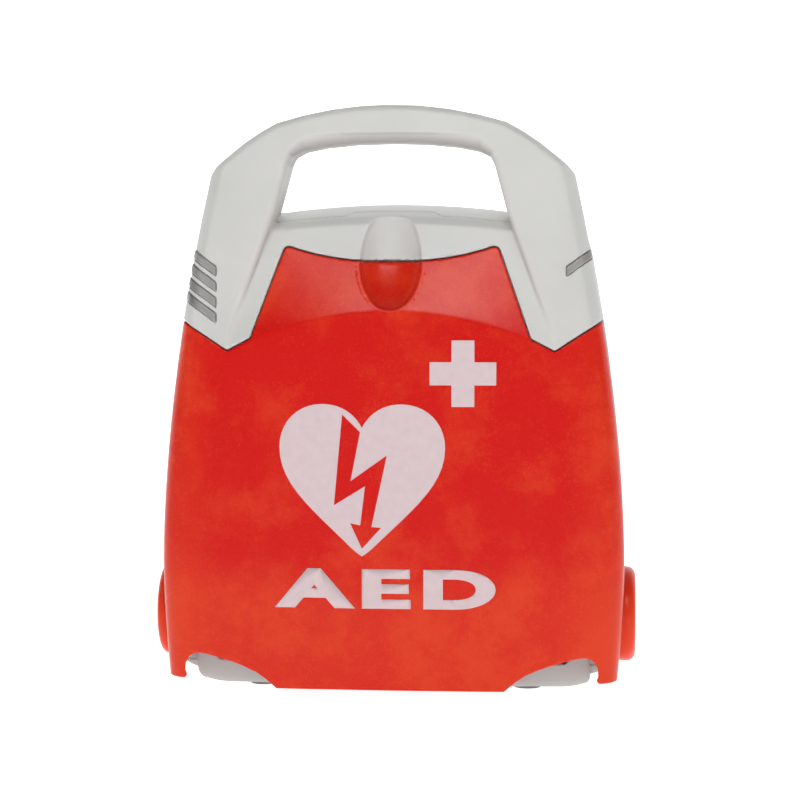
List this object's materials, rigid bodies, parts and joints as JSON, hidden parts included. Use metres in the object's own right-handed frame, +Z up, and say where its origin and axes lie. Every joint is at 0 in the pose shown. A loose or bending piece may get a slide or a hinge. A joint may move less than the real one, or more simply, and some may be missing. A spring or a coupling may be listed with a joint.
{
  "type": "defibrillator",
  "caption": "Portable upright defibrillator: grey carrying case with a moulded handle, glossy red hinged lid over a control deck, and a slide-out battery in the back",
  "frame": {"origin": "middle of the base, at the level of the feet's soles, under the middle of the whole box", "axes": "+Z up through the handle, the red lid faces -Y, the battery faces +Y, +X to the viewer's right"},
  "size_m": [0.257, 0.1, 0.304],
  "materials": {
    "black": "moulded plastic",
    "blue_sleeve": "shrink sleeve",
    "board": "glass-epoxy circuit board",
    "clear": "clear polycarbonate",
    "copper": "wound copper",
    "dark_grey": "satin moulded plastic",
    "foil": "heat-sealed laminate film",
    "green": "glossy plastic",
    "grey_shell": "satin moulded ABS",
    "orange": "glossy plastic",
    "panel": "printed overlay on plastic",
    "red_gloss": "glossy moulded ABS",
    "rubber": "moulded rubber",
    "steel": "plain steel"
  },
  "bodies": {
    "housing": {"battery_contacts": "black", "board_screw_1": "steel", "board_screw_2": "steel", "board_screw_3": "steel", "board_screw_4": "steel", "board_screw_5": "steel", "board_screw_6": "steel", "board_screw_7": "steel", "board_screw_8": "steel", "button_board": "board", "capacitor_clamp": "steel", "case_screw_1": "steel", "case_screw_2": "steel", "case_screw_3": "steel", "case_screw_4": "steel", "case_screw_5": "steel", "case_screw_6": "steel", "control_panel": "panel", "electrode_pouch": "foil", "electrode_socket": "orange", "energy_capacitor": "blue_sleeve", "foot_1": "rubber", "foot_2": "rubber", "foot_3": "rubber", "foot_4": "rubber", "front_housing": "grey_shell", "high_voltage_board": "board", "hinge_pin_left": "steel", "hinge_pin_right": "steel", "main_board": "board", "on_off_button_spring": "steel", "pouch_strap": "dark_grey", "rear_housing": "grey_shell", "reed_sensor": "black", "relay": "black", "shock_button_spring": "steel", "speaker": "black", "speaker_grille_insert": "dark_grey", "status_lens": "clear", "status_light_pipe": "dark_grey", "transformer": "copper"},
    "lid": {"lid_cover": "red_gloss", "lid_magnet": "steel", "lid_snap_stud_left": "steel", "lid_snap_stud_right": "steel"},
    "shock_button": {"shock_button": "orange"},
    "on_off_button": {"on_off_button": "green"},
    "battery": {"battery_pack": "dark_grey"},
    "latch": {"battery_latch": "grey_shell"}
  },
  "joints": [
    {"name": "lid_hinge", "type": "hinge", "parent": "housing", "child": "lid", "pos_m": [0, 0, 0.037], "axis": [1, 0, 0], "range_deg": [0, 105]},
    {"name": "shock_button_press", "type": "slide", "parent": "housing", "child": "shock_button", "axis": [0, 1, 0], "range_m": [0, 0.002], "stiffness_N_per_m": 1500, "springref_m": -0.001, "deforming": ["shock_button_spring"]},
    {"name": "on_off_button_press", "type": "slide", "parent": "housing", "child": "on_off_button", "axis": [0, 1, 0], "range_m": [0, 0.002], "stiffness_N_per_m": 1000, "springref_m": -0.001, "deforming": ["on_off_button_spring"]},
    {"name": "battery_slide", "type": "slide", "parent": "housing", "child": "battery", "axis": [0, 1, 0], "range_m": [0, 0.06]},
    {"name": "battery_latch_slide", "type": "slide", "parent": "housing", "child": "latch", "axis": [0, 0, 1], "range_m": [0, 0.003], "stiffness_N_per_m": 500, "springref_m": -0.002}
  ]
}
